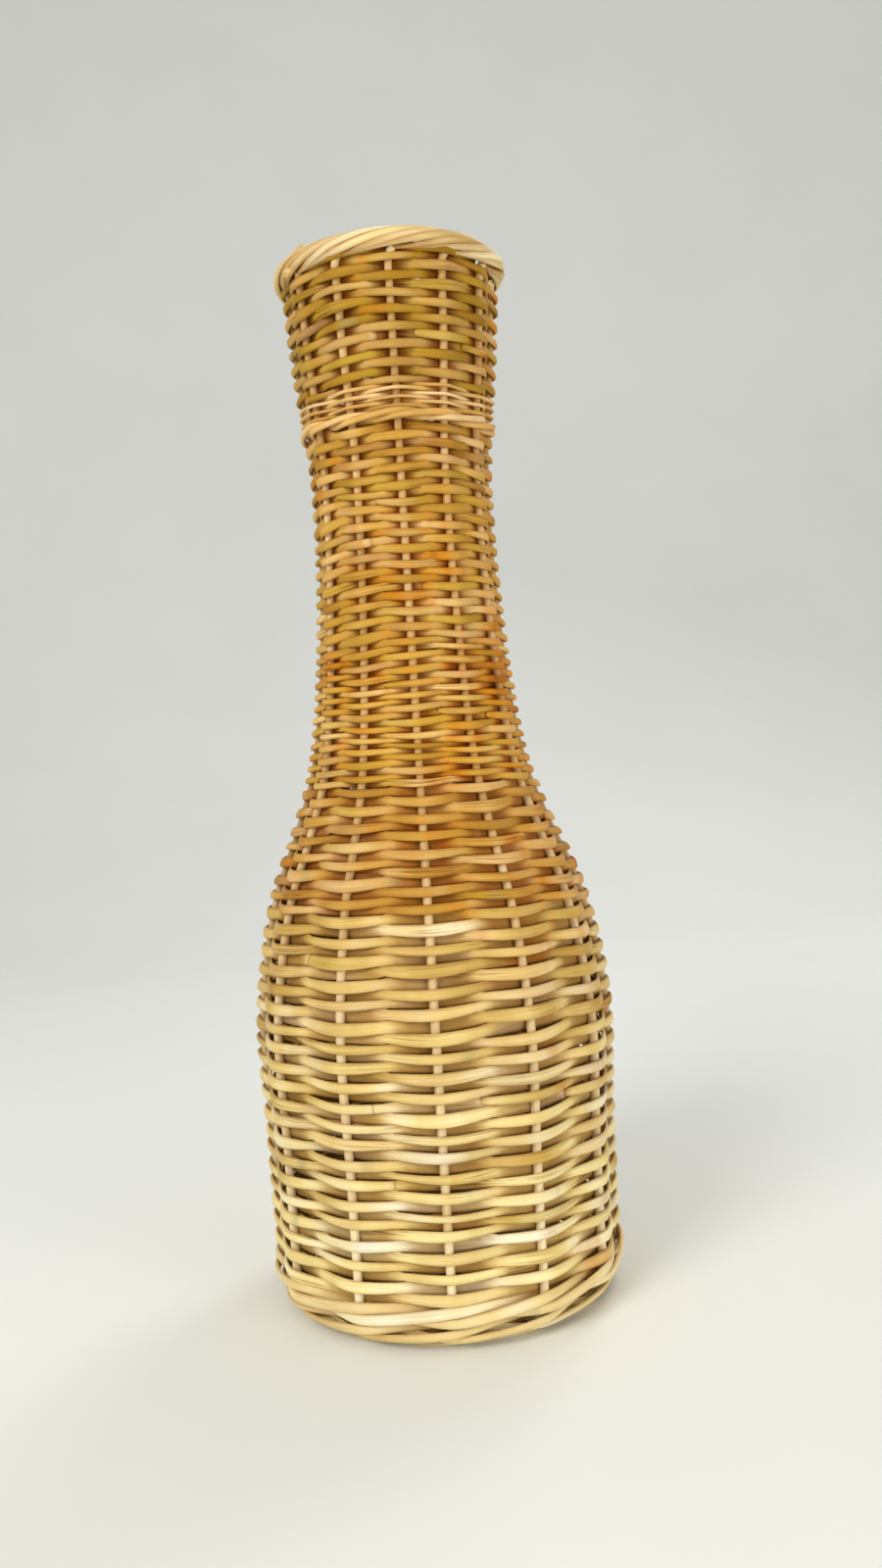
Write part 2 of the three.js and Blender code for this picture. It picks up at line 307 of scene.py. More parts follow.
# The line that the stakes follow, as a table of length, radius and height
def catmull_rom(points, steps):
    """A smooth line through points, in so many steps from each to the next."""
    ends = [points[0], *points, points[-1]]
    line = []
    for a, b, c, d in zip(ends, ends[1:], ends[2:], ends[3:]):
        for t in np.arange(steps) / steps:
            line.append(0.5 * (2 * b + (c - a) * t + (2 * a - 5 * b + 4 * c - d) * t ** 2
                               + (3 * b - a - 3 * c + d) * t ** 3))
    return [*line, points[-1]]


def rim_centre():
    """Radius and height of the middle of the rope that the rim is."""
    reach = RIM_ROPE_RADIUS + CANE_RADIUS
    return RIM[1] - reach, RIM[0] - reach


def make_profile():
    """Lengths along the line, its points as (radius, height), and its length up to the rim."""
    corner_height = WALL_HALF - PRESS_DEPTH + CORNER_RADIUS
    tilt = math.atan(BASE_RISE / CORNER_CENTRE)
    turn = np.linspace(-math.pi / 2 - tilt, 0, LINE_STEPS)
    corner = [np.array([CORNER_CENTRE + CORNER_RADIUS * math.cos(a),
                        corner_height + CORNER_RADIUS * math.sin(a)]) for a in turn]
    middle = np.array([0, corner[0][1] + corner[0][0] * math.tan(tilt)])
    base = [middle + (corner[0] - middle) * t for t in np.arange(BASE_STEPS) / BASE_STEPS]
    radius, height = rim_centre()
    top = (height + RIM_ROPE_RADIUS * math.sin(RIM_START) - RIM_ELBOW,
           radius - RIM_ROPE_RADIUS + WALL_HALF - SWELL)
    stages = [BELLY, BULGE, SHOULDER, SLOPE, FLARE, THROAT, NECK, COLLAR, top]
    wall = [corner[-1], *[np.array([r - WALL_HALF + SWELL, z]) for z, r in stages]]
    points = np.array([*base, *corner[:-1], *catmull_rom(wall, LINE_STEPS)])
    lengths = distances(points)
    above = points[-1] + np.array([RIM_LEAN, 1]) * RIM_REACH
    return np.array([*lengths, lengths[-1] + RIM_REACH]), np.array([*points, above]), lengths[-1]


PROFILE_LENGTHS, PROFILE, PROFILE_END = make_profile()


def along(s):
    """Radius, height and outward normal (radial, upward) of the line at lengths s."""
    def at(length):
        return (np.interp(length, PROFILE_LENGTHS, PROFILE[:, 0]),
                np.interp(length, PROFILE_LENGTHS, PROFILE[:, 1]))
    radius, height = at(s)
    probe = 1.0
    middle = np.clip(s, probe, PROFILE_END + RIM_REACH - probe)
    r0, z0 = at(middle - probe)
    r1, z1 = at(middle + probe)
    run = np.hypot(r1 - r0, z1 - z0)
    return radius, height, (z1 - z0) / run, -(r1 - r0) / run


def length_at(height):
    """Length along the line where the wall reaches a height."""
    past_base = 2
    wall = PROFILE_LENGTHS > CORNER_CENTRE + past_base
    return float(np.interp(height, PROFILE[wall, 1], PROFILE_LENGTHS[wall]))


# Row plan: stretches of the line, each a whole number of turns of the band of two rows
def plan_stretches():
    corner_end = length_at(FOOT_BAND_TOP)
    rope_bottom = RIM[0] - 2 * (RIM_ROPE_RADIUS + CANE_RADIUS)
    weave_end = length_at(rope_bottom - CLEARANCE - COLLAR_PITCH / 2) + RIM_TUCK
    ends = [BASE_WEAVE_START, BASE_WEAVE_END, corner_end, length_at(BODY_TOP), length_at(SHOULDER_TOP),
            length_at(FLARE_TOP), length_at(NECK_TOP), length_at(NECK_BAND_TOP), length_at(FINE_TOP),
            weave_end]
    names = ["base", "foot", "body", "shoulder", "flare", "neck", "neck_band", "fine", "collar"]
    pitches = [BODY_PITCH, BODY_PITCH, BODY_PITCH, SHOULDER_PITCH, FLARE_PITCH, NECK_PITCH,
               NECK_BAND_PITCH, FINE_PITCH, COLLAR_PITCH]
    plan = {}
    turn = 0
    step = 0
    for name, start, end, pitch in zip(names, ends, ends[1:], pitches):
        turns = max(1, math.floor((end - start) / (2 * pitch) + 0.5))
        plan[name] = dict(start=start, end=end, turns=turns, first=turn, first_step=step)
        turn += turns
        plan[name]["last_step"] = turn * STAKE_COUNT
        step = band_run(plan[name])[2] if name in BANDS else turn * STAKE_COUNT

    # The last turn of the collar lies level under the rim, half a turn below the end of its climb
    top = plan["collar"]
    top["end"] = top["start"] + (top["end"] - top["start"]) * top["turns"] / (top["turns"] - 0.5)
    top["last_step"] -= CLIMB_STAKES + 1
    return plan


def band_run(stretch):
    """Where a band starts, over how many stakes each strand runs, and the first stake past them."""
    start = stretch["first"] * STAKE_COUNT + BAND_LEAD
    count = math.floor((stretch["turns"] * STAKE_COUNT - 1) / BAND_STRANDS) * BAND_STRANDS
    return start, count, start + count + BAND_STRANDS


STRETCHES = plan_stretches()


def climbed_turns(step):
    """Turns climbed at a stake. The rows lie level, and climb to the next turn across the seam."""
    turns = step / STAKE_COUNT
    whole = np.floor(turns)
    return whole + np.maximum(0, (turns - whole - 1) * STAKE_COUNT / CLIMB_STAKES + 1)


def row_length(turn):
    """Length along the line of a row that has climbed so many turns from the base."""
    length = np.zeros_like(turn)
    for i, stretch in enumerate(STRETCHES.values()):
        inside = turn >= stretch["first"] if i else np.ones_like(turn, bool)
        per_turn = (stretch["end"] - stretch["start"]) / stretch["turns"]
        length = np.where(inside, stretch["start"] + (turn - stretch["first"]) * per_turn, length)
    return length


def stand_off(radius, out, side):
    """How far a strand's middle stands off the stake line, outside (+1) or inside (-1) the stake."""
    gap = 2 * radius * math.sin(STAKE_STEP / 2)
    reach = CANE_RADIUS + CLEARANCE
    swing = np.arctan((2 * reach + STRAND_THICKNESS) / gap)
    lean = np.maximum(0, swing + side * np.maximum(0, out) * STAKE_STEP / 2)
    return STRAND_THICKNESS / 2 + reach / np.cos(lean)


# Unevenness of hand weaving: waves over the wall, the same for every piece they pass
def make_waves(count, amplitude, most_lobes, shortest, longest):
    return [(random.integers(0, most_lobes + 1), random.uniform(shortest, longest),
             random.uniform(0, 2 * math.pi), random.uniform(0.5, 1) * amplitude / math.sqrt(count))
            for _ in range(count)]


ROW_WAVES = [*make_waves(count=12, amplitude=1.3, most_lobes=4, shortest=9, longest=45),
             *make_waves(count=12, amplitude=0.75, most_lobes=3, shortest=3.4, longest=7)]
WALL_WAVES = make_waves(count=8, amplitude=0.6, most_lobes=6, shortest=25, longest=110)


def wave(waves, angle, s):
    """How far the waves shift a place, from its angle and its length along the line."""
    return sum(size * np.sin(lobes * angle + s / reach + start) for lobes, reach, start, size in waves)


def row_spread(angle, s):
    """How far the rows lie apart, as a share of their pitch."""
    return 1 + hand_made(s) * sum(size / reach * np.cos(lobes * angle + s / reach + start)
                                  for lobes, reach, start, size in ROW_WAVES)


def hand_made(s):
    """How uneven the weave is at a length along the line, from 0 to 1."""
    return rise(s, EVEN_LENGTH, UNEVEN_LENGTH)


def wander(x, seed, step, size):
    """A smooth random value along a strand, with a new target at every step."""
    targets = np.random.default_rng(seed).normal(0, size, int(np.max(x) / step) + 3)
    whole = np.floor(x / step).astype(int)
    part = x / step - whole
    ease = part * part * (3 - 2 * part)
    return targets[whole] * (1 - ease) + targets[whole + 1] * ease


# Meshes
def painted_darkness(around, swing, flat_inside, dark):
    """How much painted shade a cane gets at each place along and around it, from 0 to 1: more where
    it swings in behind the others, and along its edges, the upper one most.
    """
    edge = np.sin(around)
    edge = np.where(edge < 0, -1.0, LOWER_EDGE) * edge * (flat_inside < 1)
    low, high, depth, edge_depth = dark
    shade = depth * rise(EDGE_REACH * edge - swing, low, high)
    return 1 - (1 - shade) * (1 - edge_depth * edge ** 3)


def shell(centres, normals, widths, depths, seed, twist=0, flat_inside=1, swing=0, dark=NO_PAINTED_SHADE):
    """A closed cane along centres. Its section is an oval, flatter inside where it is split cane. It
    gets painted shade where it swings behind the others, its edges first. Gives its points, its quads,
    its end triangles, and for each point its lay (length, angle from -1 to 1, number of the cane) and
    its painted shade."""
    count = len(centres)
    widths, depths, twist, swing = (np.broadcast_to(value, count)[:, None]
                                    for value in (widths, depths, twist, swing))
    runs = directions(centres)
    outward = normals - runs * np.sum(normals * runs, axis=1)[:, None]
    outward /= np.linalg.norm(outward, axis=1)[:, None]
    sideways = np.cross(runs, outward)
    turned = np.cos(twist) * outward + np.sin(twist) * sideways
    across = np.cos(twist) * sideways - np.sin(twist) * outward
    around = 2 * math.pi * np.arange(SIDES) / SIDES
    out = np.where(np.cos(around) < 0, flat_inside, 1) * np.cos(around)
    rings = (centres[:, None, :] + turned[:, None, :] * (depths / 2 * out)[:, :, None]
             + across[:, None, :] * (widths / 2 * np.sin(around))[:, :, None])
    rings[:, :, 2] = np.maximum(rings[:, :, 2], 0)
    points = np.concatenate([rings.reshape(-1, 3), rings[:1].mean(axis=1), rings[-1:].mean(axis=1)]) * MM
    ring = np.arange(count - 1)[:, None] * SIDES
    j = np.arange(SIDES)[None, :]
    k = (j + 1) % SIDES
    quads = np.stack([ring + j, ring + k, ring + k + SIDES, ring + j + SIDES], axis=-1).reshape(-1, 4)
    tail = (count - 1) * SIDES
    ends = [np.stack([np.full(SIDES, count * SIDES), k[0], j[0]], axis=1),
            np.stack([np.full(SIDES, count * SIDES + 1), tail + j[0], tail + k[0]], axis=1)]
    travelled = distances(centres) * MM
    lay = np.zeros((len(points), 3))
    lay[:-2, 0] = np.repeat(travelled, SIDES)
    lay[-2:, 0] = travelled[0], travelled[-1]
    lay[:-2, 1] = np.tile(np.where(around > math.pi, around - 2 * math.pi, around) / math.pi, count)
    lay[:, 2] = seed
    shade = np.concatenate([painted_darkness(around, swing, flat_inside, dark).ravel(), [0, 0]])
    return points, quads, np.concatenate(ends), lay, shade


def link_piece(name, shells):
    """One mesh of one or more closed canes."""
    starts = np.cumsum([0, *[len(part[0]) for part in shells]])
    quads = [(face + start).tolist() for part, start in zip(shells, starts) for face in part[1]]
    ends = [(face + start).tolist() for part, start in zip(shells, starts) for face in part[2]]
    mesh = bpy.data.meshes.new(name)
    mesh.from_pydata(np.concatenate([part[0] for part in shells]).tolist(), [], [*quads, *ends])
    mesh.polygons.foreach_set("use_smooth", [True] * len(quads) + [False] * len(ends))
    lay = mesh.attributes.new("cane", "FLOAT_VECTOR", "POINT")
    lay.data.foreach_set("vector", np.concatenate([part[3] for part in shells]).ravel())
    shade = mesh.attributes.new("shade", "FLOAT", "POINT")
    shade.data.foreach_set("value", np.concatenate([part[4] for part in shells]))
    mesh.update()
    piece = bpy.data.objects.new(name, mesh)
    bpy.context.scene.collection.objects.link(piece)
    return piece


def on_wall(step, s, offset):
    """Points and outward normals at stake steps, lengths s and offsets from the stake line. On the
    wall a strand keeps its height as it goes in and out."""
    least_out = 0.5
    angle = SEAM_ANGLE + step * STAKE_STEP
    s = s + wave(ROW_WAVES, angle, s) * hand_made(s)
    offset = offset + wave(WALL_WAVES, angle, s) * hand_made(s)
    _, _, out, up = along(s)
    level = np.where(hand_made(s) > 0, up / np.maximum(out, least_out), 0)
    s = s - offset * level * hand_made(s)
    radius, height, out, up = along(s)
    share = step - np.floor(step) - 0.5
    chord = math.cos(STAKE_STEP / 2) / np.cos(share * STAKE_STEP)
    radius = radius * (1 + STRAIGHTEN * (chord - 1))
    reach = radius + offset * out
    points = np.stack([reach * np.cos(angle), reach * np.sin(angle), height + offset * up], axis=1)
    normals = np.stack([out * np.cos(angle), out * np.sin(angle), up], axis=1)
    return points, normals


def dress(piece, node, material):
    piece.data.materials.append(material)
    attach(piece, "root")
    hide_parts(node)


# Weaving strands
def weave_swing(x, bend):
    """-1 behind the even stakes and 1 over the odd ones, nearly straight between where bend is low."""
    straight = 1 - 2 * np.abs(x % 2 - 1)
    mixed = (1 - bend) * straight + bend * np.sin(straight * math.pi / 2)
    power = (1 - bend) * STRAIGHT_POWER + bend
    return np.sign(mixed) * np.abs(mixed) ** power


def chase_offset(step, start, end, laps, radius, out, swing, relief):
    """How far a strand's middle is from the stake line. A lap's upper end is lifted, its lower sunk."""
    side = (1 + swing) / 2
    offset = relief * (stand_off(radius, out, 1) * side - stand_off(radius, out, -1) * (1 - side))
    if laps[0]:
        offset = offset + LAP_LIFT * rise(step, start + LAP_RUN_IN, start)
    if laps[1]:
        offset = offset - LAP_LIFT * rise(step, end - LAP_RUN_OUT, end)
    return offset


def chase_width(x, s, swing, look, seed):
    """How wide a strand is, in pitches."""
    over = np.maximum(0, swing) ** OVER_POWER
    under = np.maximum(0, -swing) ** UNDER_POWER
    distance = np.abs(s - STRETCHES["neck"]["end"])
    width = look["width"] + NECK_END_WIDTH * rise(distance, *NECK_END_FADE)
    cover = look["under"] + NECK_END_COVER * rise(distance, *NECK_END_COVER_FADE)
    uneven = wander(x, seed + WIDTH_SEED, step=1.7, size=0.06)
    return width + look["over"] * over + cover * under + uneven


def chase_strand(node, row, first, last, laps, look, material):
    """One strand over one stake and under the next. Where it has no lap, it butts behind a stake."""
    seed = next_seed()
    first_radius = along(row_length(climbed_turns(first) + row))[0]
    butt = BUTT_GAP / 2 / (first_radius * STAKE_STEP)
    start = first + (LAP_START if laps[0] else butt)
    end = last + (LAP_END if laps[1] else -butt)
    step = np.linspace(start, end, int((end - start) * STRAND_STEPS) + 1)
    turn = climbed_turns(step) + row
    s = row_length(turn)
    pitch = (row_length(turn + 0.5) - row_length(turn - 0.5)) / 2
    radius, height, out, _ = along(s)
    x = step - first
    swing = weave_swing(x, look["bend"])
    offset = chase_offset(step, start, end, laps, radius, out, swing, look["relief"])
    spread = row_spread(SEAM_ANGLE + step * STAKE_STEP, s)
    ends = rise(np.minimum(step - start, end - step), 0, END_LENGTH)
    width = pitch * spread * chase_width(x, s, swing, look, seed) * (END_WIDTH + (1 - END_WIDTH) * ends)
    depth = STRAND_THICKNESS * (STRAND_DEPTH + wander(x, seed + DEPTH_SEED, step=2.3, size=0.05))
    twist = wander(x, seed + TWIST_SEED, step=0.9, size=0.2)
    droop = look["droop"] * np.maximum(LEAST_DROOP, rise(height, DROOP_START, FULL_DROOP))
    s = s + wander(x, seed, step=1.3, size=0.2) - swing * droop * pitch * hand_made(s)
    points, normals = on_wall(step, s, offset)
    part = shell(points, normals, width, depth, seed, twist, STRAND_FLAT, swing, look["dark"])
    dress(link_piece(node, [part]), node, material)


def chase_pair(name, material):
    """The pair of strands of one stretch. Strand a passes behind the odd stakes, b behind the even."""
    stretch = STRETCHES[name]
    look = WEAVES[name]
    pieces = look["pieces"]
    for letter, row, parity in (("a", 0, 1), ("b", 0.5, 0)):
        first = stretch["first_step"] + (stretch["first_step"] + parity) % 2
        if name in AFTER_BANDS:
            first -= EARLY_STAKES
        last = stretch["last_step"] + (stretch["last_step"] + parity) % 2
        cuts = [first + 2 * math.floor((last - first) * part / pieces / 2 + 0.5)
                for part in range(pieces + 1)]
        for part in range(pieces):
            node = f"{name}_weaver_{letter}{part + 1 if pieces > 1 else ''}"
            laps = (part > 0, part < pieces - 1)
            chase_strand(node, row, cuts[part], cuts[part + 1], laps, look, material)


def three_strand_band(name, label, material):
    """Three strands. Each goes behind one stake, comes out low, climbs across two and goes in high."""
    start, count, _ = band_run(STRETCHES[name])

    # Every half stake, over the three that it takes: which way it lies from the middle of its row,
    # on which side of the stakes, and how far it bulges
    phases = np.arange(7) / 2
    climb = np.array([0, -1, -1, 0, 1, 1, 0])
    side = np.array([-1, 0, 1, 1, 1, 0, -1])
    proud = np.array([0, 0, 0.5, 1, 0.5, 0, 0]) * BAND_BULGE
    for strand in range(BAND_STRANDS):
        seed = next_seed()
        x = np.linspace(-BAND_EARLY, count + BAND_LATE, (count + 2) * STRAND_STEPS)
        step = start + strand + x
        turn = climbed_turns(step)
        row_gap = (row_length(turn + 0.5) - row_length(turn)) / 2
        phase = x % BAND_STRANDS
        s = row_length(turn + 0.25) + np.interp(phase, phases, climb) * row_gap
        radius, _, out, _ = along(s)
        where = np.interp(phase, phases, side)
        offset = np.where(where > 0, where * stand_off(radius, out, 1), where * stand_off(radius, out, -1))
        offset = offset + np.interp(phase, phases, proud)
        grown = BAND_WIDTH + BAND_COVER * np.clip(-where, 0, 1)
        run = x + BAND_EARLY
        width = 2 * row_gap * (grown + wander(run, seed + WIDTH_SEED, step=1.7, size=0.04))
        depth = STRAND_THICKNESS * BAND_DEPTH
        twist = wander(run, seed + TWIST_SEED, step=0.9, size=0.15)
        points, normals = on_wall(step, s, offset)
        soften(points)
        part = shell(points, normals, width, depth, seed, twist, STRAND_FLAT, where, BAND_PAINTED_SHADE)
        node = f"{label}_{strand + 1}"
        dress(link_piece(node, [part]), node, material)


# Long canes: rim end, stake, base, stake, rim end
def rope_point(angle, stakes, early, proud):
    """A point on a cane's way round the middle of the rim, so many stakes on, and the direction away
    from that middle. It may lie ahead on its way, in stakes, and stand out farther."""
    centre_radius, centre_height = rim_centre()
    settled = min(1, stakes)
    here = angle + stakes * STAKE_STEP
    turned = RIM_START + (stakes + early * settled) * 2 * math.pi / RIM_SPREAD
    reach = RIM_ROPE_RADIUS + (STRIP_PROUD + proud) * settled
    place = polar(centre_radius + reach * math.cos(turned), here,
                  centre_height + RIM_LIFT * settled + reach * math.sin(turned))
    return place, polar(math.cos(turned), here, math.sin(turned))


def rim_strip(angle, early, proud, length, is_tip, seed):
    """Half of a split cane, rolled into the rim over so many stakes. A tip narrows and stands off."""
    stakes = np.linspace(STRIP_START, length, STRIP_POINTS)
    lifts = TIP_RISE * is_tip * rise(stakes, length - TIP_BEND, length) ** 2
    turns = [rope_point(angle, step, early, proud + lift) for step, lift in zip(stakes, lifts)]
    centres = np.array([place for place, _ in turns])
    normals = np.array([away for _, away in turns])
    grown = np.maximum(STRIP_LEAST, rise(stakes, 0, STRIP_GROWTH))
    if is_tip:
        grown[stakes > length - TIP_LENGTH] *= TIP_WIDTH
    x = stakes + 1
    widths = STRIP_WIDTH * grown * (1 + wander(x, seed + STRIP_WIDTH_SEED, step=0.8, size=0.06))
    depths = STRIP_DEPTH * (1 + wander(x, seed + STRIP_DEPTH_SEED, step=0.8, size=0.06))
    twist = wander(x, seed + STRIP_TWIST_SEED, step=1.1, size=0.16)
    return shell(centres, normals, widths, depths, seed, twist, STRIP_FLAT, proud - STRIP_LIT, RIM_PAINTED_SHADE)


def rim_strips(angle, has_tip):
    """The two halves of a cane's end. The second may be cut short, with its tip standing off."""
    strips = []
    for shift in (-STRIP_SHIFT, STRIP_SHIFT):
        early = shift + random.uniform(*STRIP_EARLY)
        proud = random.uniform(*STRIP_LEVEL)
        is_tip = has_tip and shift > 0
        length = TIP_END if is_tip else RIM_SPREAD - STRIP_SHORT + random.uniform(*STRIP_CUT)
        strips.append(rim_strip(angle, early, proud, length, is_tip, next_seed()))
    return strips


def cut_end(angle):
    """The cut end of a cane that comes out under the rim."""
    centre_radius, centre_height = rim_centre()
    centres = np.array([polar(centre_radius + reach * math.cos(CUT_SLANT), angle + CUT_SHIFT,
                              centre_height + reach * math.sin(CUT_SLANT))
                        for reach in np.linspace(CUT_INSIDE, CUT_OUTSIDE, CUT_POINTS)])
    normals = np.tile([0, 0, 1.0], (CUT_POINTS, 1))
    return shell(centres, normals, CUT_DIAMETER, CUT_DIAMETER, next_seed())


def cane_half(lead, rank, level):
    """Half of a cane, from the crossing in the middle of the base to its turn into the rim. Rank is
    its place beside the middle cane, and level its height over the line at the crossing."""
    turn_off = rank * STAKE_STEP
    angle = lead + turn_off
    bend = LAYER_STEP / STAKE_STEP if rank == 0 else rank * LAYER_STEP / math.sin(turn_off)
    level_radius = BASE_WEAVE_START - CROSSING_LEAD * CANE_DIAMETER
    points = [polar(bend, angle, float(along(bend)[1]) + level),
              polar(level_radius, angle, float(along(level_radius)[1]))]
    for s in np.arange(level_radius + CROSSING_STEP, PROFILE_END, CANE_SPACING):
        radius, height, out, up = (float(value) for value in along(s))
        off = wave(WALL_WAVES, angle, s) * hand_made(s) if s < PROFILE_END - STEADY_LENGTH else 0
        points.append(polar(radius + off * out, angle, height + off * up))
    radius, height, _, _ = (float(value) for value in along(PROFILE_END))
    top = polar(radius, angle, height)
    elbow = rope_point(angle, 0, 0, 0)[0]
    end = rope_point(angle, RIM_ENTRY, 0, 0)[0]
    turn = [(1 - t) ** 2 * top + 2 * t * (1 - t) * elbow + t * t * end for t in (0.3, 0.6, 0.9)]
    return [*points, top, *turn]


def make_cane(index, material):
    """One long cane with its two ends in the rim. The first half of the canes lie below the others."""
    lower = math.ceil(CANE_COUNT / 2)
    is_lower = index < lower
    rank = index - (lower - 1) / 2 if is_lower else index - lower - (CANE_COUNT - lower - 1) / 2
    lead = 0 if is_lower else math.pi / 2
    level = (-1 if is_lower else 1) * LAYER_STEP / 2
    points = np.array([*reversed(cane_half(lead + math.pi, -rank, level)),
                       *cane_half(lead, rank, level)])
    lengths = distances(points)
    even = np.linspace(0, lengths[-1], int(lengths[-1] / CANE_SPACING))
    points = np.stack([np.interp(even, lengths, points[:, axis]) for axis in range(3)], axis=1)
    soften(points)
    seed = next_seed()
    thickness = 1 + THICKER * rise(points[:, 2], THIN_HEIGHT, THICK_HEIGHT)
    width = CANE_DIAMETER * (thickness + wander(even, seed, step=60, size=0.03))
    shells = [shell(points, carried_normals(points), width, width, seed)]
    for angle in (lead + math.pi - rank * STAKE_STEP, lead + rank * STAKE_STEP):
        stake = round(math.degrees(angle)) % 360
        shells += rim_strips(angle, stake == TIP_STAKE)
        if stake == CUT_STAKE:
            shells.append(cut_end(angle))
    node = f"stake_cane_{index + 1}"
    dress(link_piece(node, shells), node, material)


# Materials
def srgb(red, green, blue):
    def linear(value):
        share = value / 255
        return share / 12.92 if share <= 0.04045 else ((share + 0.055) / 1.055) ** 2.4
    return (linear(red), linear(green), linear(blue), 1)


class Nodes:
    """Short calls for building a material's node tree."""

    def __init__(self, name):
        self.material = bpy.data.materials.new(name)
        self.material.use_nodes = True
        self.tree = self.material.node_tree
        self.shader = self.tree.nodes["Principled BSDF"]

    def add(self, kind, inputs=(), **settings):
        node = self.tree.nodes.new(kind)
        for key, value in settings.items():
            setattr(node, key, value)
        for key, value in dict(inputs).items():
            self.put(value, node.inputs[key])
        return node

    def put(self, value, socket):
        if hasattr(value, "is_linked"):
            self.tree.links.new(value, socket)
        else:
            socket.default_value = value

    def math(self, operation, *values):
        node = self.add("ShaderNodeMath", operation=operation)
        for value, socket in zip(values, node.inputs):
            self.put(value, socket)
        return node.outputs[0]

    def noise(self, vector, scale=1.0, detail=2.0, rough=0.5):
        return self.add("ShaderNodeTexNoise", {"Vector": vector, "Scale": scale, "Detail": detail,
                                               "Roughness": rough}).outputs["Fac"]

    def total(self, *parts):
        """The sum of values, each given with its share."""
        summed = 0.0
        for share, value in parts:
            summed = self.add("ShaderNodeMath", {0: value, 1: share, 2: summed},
                              operation="MULTIPLY_ADD").outputs[0]
        return summed

    def remap(self, value, low, high, start=0.0, end=1.0):
        node = self.add("ShaderNodeMapRange", {"Value": value, "From Min": low, "From Max": high,
                                               "To Min": start, "To Max": end})
        return node.outputs["Result"]

    def mix(self, share, a, b, blend="MIX"):
        node = self.add("ShaderNodeMix", data_type="RGBA", blend_type=blend)
        self.put(share, node.inputs[0])
        self.put(a, node.inputs[6])
        self.put(b, node.inputs[7])
        return node.outputs[2]

    def ramp(self, value, colours):
        """Colours spaced evenly from 0 to 1."""
        node = self.add("ShaderNodeValToRGB", {"Fac": value})
        elements = node.color_ramp.elements
        while len(elements) < len(colours):
            elements.new(0.5)
        for element, place, colour in zip(elements, np.linspace(0, 1, len(colours)), colours):
            element.position = place
            element.color = colour
        return node.outputs["Color"]

    def combine(self, x, y, z):
        node = self.add("ShaderNodeCombineXYZ")
        for value, socket in zip((x, y, z), node.inputs):
            self.put(value, socket)
        return node.outputs[0]


class CaneNodes(Nodes):
    """Nodes that know where on which cane they are."""

    def __init__(self, name):
        super().__init__(name)
        lay = self.add("ShaderNodeAttribute", attribute_name="cane").outputs["Vector"]
        self.length, self.around, self.seed = self.add("ShaderNodeSeparateXYZ", {"Vector": lay}).outputs
        self.place = self.add("ShaderNodeTexCoord").outputs["Object"]
        self.sideways, _, self.height = self.add("ShaderNodeSeparateXYZ", {"Vector": self.place}).outputs
        self.shift = self.math("MULTIPLY", self.seed, 7.31)

    def along_cane(self, changes, start):
        """Noise along each cane only, by changes in a metre. The start sets it apart from others."""
        return self.noise(self.combine(self.math("MULTIPLY", self.length, changes), self.shift, start))

    def lines(self, changes, across, detail):
        """Noise drawn out into lines along the cane, by changes in a metre and across its half."""
        vector = self.combine(self.math("MULTIPLY", self.length, changes),
                              self.math("MULTIPLY", self.around, across), self.shift)
        return self.noise(vector, detail=detail, rough=0.6)

    def tint(self, colour, share, strength, other):
        """The colour with so much of another, where share is 1."""
        return self.mix(self.math("MULTIPLY", share, strength), colour, other)


def drift(n, main, zones, blotch, streak):
    """Tones that drift along the cane, and turn to those of each zone between its heights."""
    tone = n.total((0.4, n.along_cane(5, 6.0)), (0.35, n.along_cane(18, 0.0)), (0.15, blotch),
                   (0.1, streak))
    tone = n.remap(tone, 0.36, 0.64)
    colour = n.ramp(tone, main)
    for low, high, other in zones:
        colour = n.mix(n.remap(n.height, low, high), colour, n.ramp(tone, other))
    return colour


def stained(n, colour, blotch, stain):
    """Spells of olive, tan and brown, orange and dark brown patches, mostly on the right and above the
    belly, and grey-green stains."""
    for start, strength, spell in ((21.0, 0.5, srgb(188, 158, 44)), (33.0, 0.6, srgb(214, 172, 116)),
                                   (45.0, 0.4, srgb(150, 98, 22))):
        colour = n.tint(colour, n.remap(n.along_cane(11, start), 0.52, 0.66), strength * stain, spell)
    patch = n.noise(n.place, 16)
    above = n.remap(n.height, 0.1, 0.28, -0.2, 0.0)
    patchiness = n.total((0.5, patch), (0.5, blotch), (0.7, n.sideways), (0.5, above))
    colour = n.tint(colour, n.remap(patchiness, 0.53, 0.62), stain, srgb(204, 126, 6))
    colour = n.tint(colour, n.remap(patchiness, 0.62, 0.71), stain, srgb(128, 54, 4))
    return n.tint(colour, n.remap(n.along_cane(34, 9.0), 0.66, 0.74), 0.4, srgb(150, 148, 105))


def knotted(n, colour):
    """A knot now and then: a pale ring with a fine dark line beside it. Gives the ring too."""
    ring = n.math("SUBTRACT", n.math("FRACT", n.total((0.6, n.length), (0.37, n.seed))), 0.5)
    beside = n.math("SUBTRACT", ring, 0.0018)
    pale = n.remap(n.math("ABSOLUTE", ring), 0.0004, 0.0016, 1.0, 0.0)
    line = n.remap(n.math("ABSOLUTE", beside), 0.0001, 0.0006, 1.0, 0.0)
    colour = n.tint(colour, pale, 0.3, srgb(240, 220, 180))
    return n.tint(colour, line, 0.4, srgb(112, 70, 20)), pale


def fibrous(n, colour, stain):
    """Fine lines along the cane, and brown splits here and there."""
    fibre = n.lines(26, 10, 3)
    worn = n.remap(n.along_cane(16, 57.0), 0.5, 0.66)
    splits = n.math("MULTIPLY", n.remap(fibre, 0.54, 0.62), worn)
    colour = n.mix(n.remap(fibre, 0.45, 0.7, 0.0, 0.2), colour, srgb(160, 116, 50))
    return n.tint(colour, splits, 0.9 * stain, srgb(108, 54, 10))


